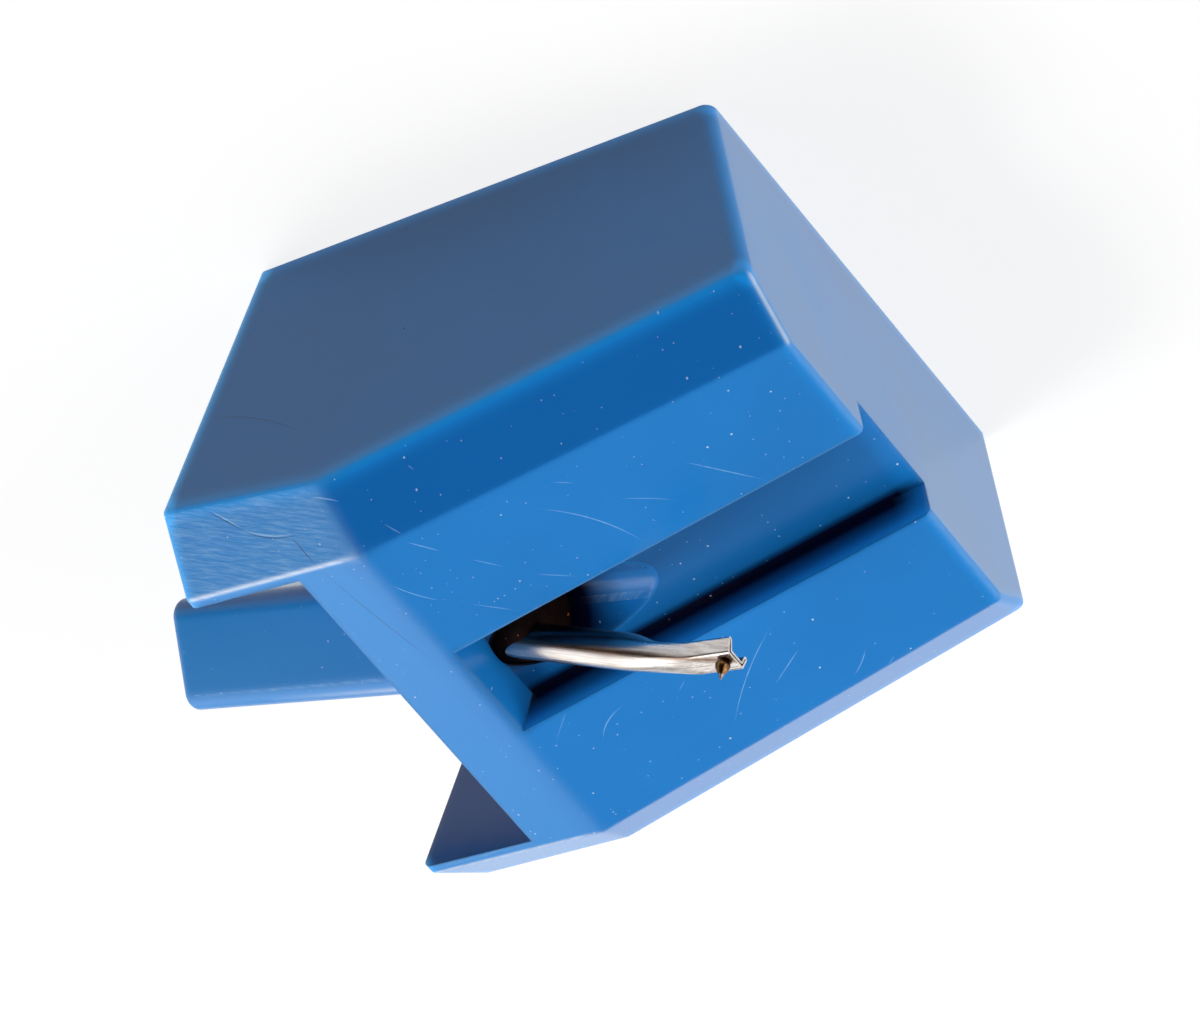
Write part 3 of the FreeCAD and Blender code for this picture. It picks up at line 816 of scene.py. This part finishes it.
tube = {
    "rise": 31.6,             # degrees
    "radius": 0.41,
    "sink": 0.012,            # leaves room for the swing away from the holder
    "wall": 0.048,
    "tail": -2.3,
    "straightRings": (-1.0, 0.0, 1.0, 2.0, 3.0, 4.0, 4.6),
    "pressStart": 4.9,
    "bendStart": 6.7,
    "pressEnd": 7.2,
    "end": 7.976,
    "bend": 14.0,             # degrees
    "sides": 128,
    "step": 0.08,
    "foot": (0.29, -0.32),    # left and right corner of the channel's foot
    "walls": ((0.42, -0.15), (-0.37, -0.1)),
    "footLevel": 0.185,
    "sheets": 0.125,          # both sheets with the slit between them
    "crest": 0.03125,         # how far each fold's round crest goes past its wall's end
    "innerCorner": 0.1,       # how far the foot's inner corners draw in
    "rounding": 3,            # rounds of smoothing
    "smoothAngle": 50.0,
}


def smoothStep(value, first, last):
    share = min(max((value - first) / (last - first), 0.0), 1.0)
    return share * share * (3.0 - 2.0 * share)


def evenPoints(corners, count):
    # points at equal distances along a line through the corners, without the last one
    runs = [(b - a).length for a, b in zip(corners, corners[1:])]
    points = []
    for index in range(count):
        left = sum(runs) * index / count
        for run, a, b in zip(runs, corners, corners[1:]):
            if left <= run:
                points.append(a.lerp(b, left / run))
                break
            left -= run
    return points


def channelOutline():
    # the pressed end: the tube's two halves folded together into one shallow channel
    leftEnd, rightEnd = [Vector(end) for end in tube["walls"]]
    leftFoot, rightFoot = tube["foot"]
    outer = tube["footLevel"]
    inner = outer - tube["sheets"]
    thickness = Vector((tube["sheets"], 0.0))
    crest = Vector((0.0, tube["crest"]))
    corner = tube["innerCorner"]
    leftCrest = leftEnd - thickness / 2 - crest
    rightCrest = rightEnd + thickness / 2 - crest
    outside = [
        leftCrest, leftEnd,
        Vector((leftFoot, outer)), Vector((rightFoot, outer)),
        rightEnd, rightCrest,
    ]
    inside = [
        rightCrest, rightEnd + thickness,
        Vector((rightFoot + corner, inner)), Vector((leftFoot - corner, inner)),
        leftEnd - thickness, leftCrest,
    ]
    half = tube["sides"] // 2
    points = evenPoints(outside, half) + evenPoints(inside, half)
    for _ in range(tube["rounding"]):
        before = points[-1:] + points[:-1]
        after = points[1:] + points[:1]
        points = [(a + b * 2 + c) / 4 for a, b, c in zip(before, points, after)]
    return points


def tubePoint(along, height, aside):
    angle = math.radians(tube["rise"])
    forward = Vector((math.cos(angle), 0, math.sin(angle)))
    up = forward.cross(sideways)
    return pivot + forward * along + up * (height - tube["sink"]) + sideways * aside


def tubeRings():
    pressed = tube["end"] - tube["pressStart"]
    count = round(pressed / tube["step"])
    steps = [tube["tail"], *tube["straightRings"]]
    steps += [tube["pressStart"] + pressed * index / count for index in range(count + 1)]
    angles = roundAngles(tube["sides"])
    circle = [Vector((math.cos(angle), math.sin(angle))) * tube["radius"] for angle in angles]
    channel = channelOutline()
    drop = 0.0
    previous = steps[0]
    rings = []
    for along in steps:
        lean = math.radians(tube["bend"]) * smoothStep(along, tube["bendStart"], tube["pressEnd"])
        drop += (along - previous) * math.tan(lean)
        previous = along
        press = smoothStep(along, tube["pressStart"], tube["pressEnd"])
        outline = [a.lerp(b, press) for a, b in zip(circle, channel)]
        rings.append([
            tubePoint(along + spot.y * math.sin(lean), spot.y * math.cos(lean) - drop, spot.x)
            for spot in outline
        ])
    return rings


def makeTube():
    piece = drawnTube("cantileverSkin", tubeRings())
    turnFacesOut()
    applyModifier(piece, "SOLIDIFY", {"thickness": tube["wall"] * millimetre, "offset": -1.0})
    smoothBelow(tube["smoothAngle"])
    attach(piece, "cantilever")
    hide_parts("cantilever_tube")
    print("cantilever made:", len(piece.data.polygons), "faces")
    return piece


aluminium = {
    "bright": (0.86, 0.82, 0.79, 1.0),
    "dull": (0.42, 0.37, 0.33, 1.0),
    "drawn": (0.35, 7.0, 7.0),        # draws the streaks out along the tube
    "streakNoise": (1.6, 6.0, 0.65),
    "streakStops": ((0.3, 0.0), (0.7, 1.0)),
    "streakRoughness": 0.14,
    "streakHeight": 0.004,
    "pitNoise": (14.0, 4.0, 0.7),
    "pitRoughness": 0.06,
    "pitHeight": 0.0015,
    "gloss": 0.14,
    # painted shade on the tube's left flank
    "flankShade": (0.06, 0.05, 0.055, 1.0),
    "flankShadeAside": (0.125, 0.375),
    "flankShadeAlong": (5.9, 4.65),
    "flankShadeShare": 0.85,
    "band": (0.16, 0.075, 0.03, 1.0),
    "bandOffset": 0.1,
    "bandFade": (0.167, 0.0),
    "bandFoot": -0.1,
    "bandShare": 0.85,
}


def makeAluminium():
    look = aluminium
    paint = newPaint("aluminium", {"Metallic": 1.0})
    place = paint.millimetres(pivot, (0.0, math.radians(tube["rise"]), 0.0))
    along, aside, height = paint.parts(place)
    streaks = paint.noise(paint.vector("MULTIPLY", place, look["drawn"]), *look["streakNoise"])
    pits = paint.noise(place, *look["pitNoise"])
    colour = paint.mix(paint.ramp(streaks, *look["streakStops"]), look["dull"], look["bright"])

    # painted shade darkens the left flank, and a brown band runs over it
    flankShade = aside.fade(*look["flankShadeAside"]) * along.fade(*look["flankShadeAlong"])
    colour = paint.mix(flankShade * look["flankShadeShare"], colour, look["flankShade"])
    band = (aside - height - look["bandOffset"]).size().fade(*look["bandFade"]) * (height > look["bandFoot"])
    colour = paint.mix(band * look["bandShare"], colour, look["band"])

    paint.feed("Base Color", colour)
    roughness = look["gloss"] + streaks * look["streakRoughness"] + pits * look["pitRoughness"]
    paint.feed("Roughness", roughness)
    paint.bump(streaks * look["streakHeight"] + pits * look["pitHeight"])
    return paint


bush = {
    "radius": 0.93,
    "front": 2.45,            # ahead of the pivot, along the plug
    "length": 3.4,
    "round": 0.24,
    "roundStep": 15,          # degrees
    "dish": ((0.03, 0.6), (0.04, 0.3)),   # how far behind the front, and radius
    "lift": 0.195,            # from the bush's axis to the pivot
    "rise": 20.2,             # degrees
    "sides": 96,
    "pull": 14.0,             # how far ahead of the pivot, along the bush's axis, a point is taken
    "smoothAngle": 40.0,
}


def bushPoint(along, height, aside):
    angle = math.radians(bush["rise"])
    forward = Vector((math.cos(angle), 0, math.sin(angle)))
    up = forward.cross(sideways)
    return pivot + forward * along + up * (height - bush["lift"]) + sideways * aside


def makeBush():
    front = bush["front"]
    back = front - bush["length"]
    soft = bush["round"]
    core = bush["radius"] - soft
    steps = [(back, core), (back + soft, bush["radius"])]
    for turn in range(0, 91, bush["roundStep"]):
        angle = math.radians(turn)
        steps.append((front - soft + soft * math.sin(angle), core + soft * math.cos(angle)))
    steps += [(front - behind, radius) for behind, radius in bush["dish"]]
    rings = []
    for along, radius in steps:
        rings.append([
            bushPoint(along, radius * math.sin(angle), radius * math.cos(angle))
            for angle in roundAngles(bush["sides"])
        ])
    piece = drawnTube("rubberBush", rings)
    closeEnds()
    turnFacesOut()
    smoothBelow(bush["smoothAngle"])
    # its skin stays in the bore
    rear = bushPoint(back, 0, 0) * millimetre
    ahead = bushPoint(bush["pull"], 0, 0) * millimetre
    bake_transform(piece)
    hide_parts("suspension_bush")
    print("bush made:", len(piece.data.polygons), "faces")
    return piece


rubber = {
    "specular": 0.05,
    "dark": (0.003, 0.001, 0.001, 1.0),
    "bright": (0.013, 0.004, 0.003, 1.0),
    "cloudNoise": (2.5, 4.0, 0.6),
    "cloudStops": ((0.35, 0.0), (0.7, 1.0)),
    "cloudRoughness": 0.2,
    "gloss": 0.65,
    "speck": (0.42, 0.11, 0.03, 1.0),
    "specks": (6.0, 0.12, 0.022),
    "grainNoise": (9.0, 4.0, 0.6),
    "grainHeight": 0.01,
}


def makeRubber():
    look = rubber
    paint = newPaint("rubber", {"Specular IOR Level": look["specular"]})
    place = paint.millimetres(pivot)
    colour = mottle(paint, place, look)
    paint.feed("Base Color", paint.mix(paint.specks(place, *look["specks"]), colour, look["speck"]))
    paint.bump(paint.noise(place, *look["grainNoise"]) * look["grainHeight"])
    return paint


tip = {
    "seat": (-2.607, 0.0, 9.869),
    "axis": (-0.1668, 0.0, 0.986),
    "sides": 64,
    # height above the seat and radius
    "shank": ((-0.1, 0.1), (0.0, 0.1), (0.02, 0.152), (0.035, 0.163), (0.09, 0.165), (0.13, 0.153),
              (0.19, 0.126), (0.25, 0.096), (0.31, 0.063)),
    "point": ((0.3, 0.05), (0.312, 0.0605), (0.36, 0.042), (0.41, 0.026), (0.44, 0.018), (0.449, 0.01)),
    "smoothAngle": 40.0,
}


def turnedPiece(name, steps):
    axis = Vector(tip["axis"]).normalized()
    across = axis.cross(sideways)
    rings = []
    for height, radius in steps:
        centre = Vector(tip["seat"]) + axis * height
        rings.append([
            centre + (sideways * math.cos(angle) + across * math.sin(angle)) * radius
            for angle in roundAngles(tip["sides"])
        ])
    piece = drawnTube(name, rings)
    closeEnds()
    turnFacesOut()
    smoothBelow(tip["smoothAngle"])
    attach(piece, "cantilever")
    return piece


def makeTip():
    shank = turnedPiece("tipShank", tip["shank"])
    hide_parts("tip_shank")
    point = turnedPiece("tipPoint", tip["point"])
    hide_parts("diamond_point")
    print("tip made")
    return shank, point


shankMetal = {
    "dark": (0.05, 0.02, 0.008, 1.0),
    "bright": (0.26, 0.13, 0.05, 1.0),
    "cloudNoise": (9.0, 4.0, 0.6),
    "cloudStops": ((0.35, 0.0), (0.65, 1.0)),
    "cloudRoughness": 0.16,
    "gloss": 0.16,
    "grainNoise": (30.0, 3.0, 0.6),
    "grainHeight": 0.0012,
}


def makeShankMetal():
    look = shankMetal
    paint = newPaint("shankMetal", {"Metallic": 1.0})
    place = paint.millimetres(tip["seat"])
    paint.feed("Base Color", mottle(paint, place, look))
    paint.bump(paint.noise(place, *look["grainNoise"]) * look["grainHeight"])
    return paint


diamond = {
    "ior": 2.4,
    "clear": 0.5,
    "dark": (0.08, 0.035, 0.015, 1.0),
    "bright": (0.5, 0.3, 0.16, 1.0),
    "cloudNoise": (14.0, 3.0, 0.6),
    "cloudStops": ((0.0, 0.0), (1.0, 1.0)),
    "cloudRoughness": 0.08,
    "gloss": 0.04,
}


def makeDiamond():
    paint = newPaint("diamond", {"IOR": diamond["ior"], "Transmission Weight": diamond["clear"]})
    paint.feed("Base Color", mottle(paint, paint.millimetres(tip["seat"]), diamond))
    return paint


magnetMetal = {
    "dark": (0.09, 0.09, 0.1, 1.0),
    "bright": (0.28, 0.28, 0.29, 1.0),
    "cloudNoise": (6.0, 5.0, 0.65),
    "cloudStops": ((0.0, 0.0), (1.0, 1.0)),
    "cloudRoughness": 0.2,
    "gloss": 0.35,
    "cloudHeight": 0.006,
}


def makeMagnetMetal():
    look = magnetMetal
    paint = newPaint("magnet", {"Metallic": 1.0})
    place = paint.millimetres(pivot)
    paint.feed("Base Color", mottle(paint, place, look))
    paint.bump(paint.noise(place, *look["cloudNoise"]) * look["cloudHeight"])
    return paint


setCamera()
setWorld()
setFloor()
setLamps()
dress(makeHolderShell(), makeBluePlastic())
dress(makeTube(), makeAluminium())
dress(makeBush(), makeRubber())
shankPiece, pointPiece = makeTip()
dress(shankPiece, makeShankMetal())
dress(pointPiece, makeDiamond())
dress(nodes["magnet"], makeMagnetMetal())
print("materials set")
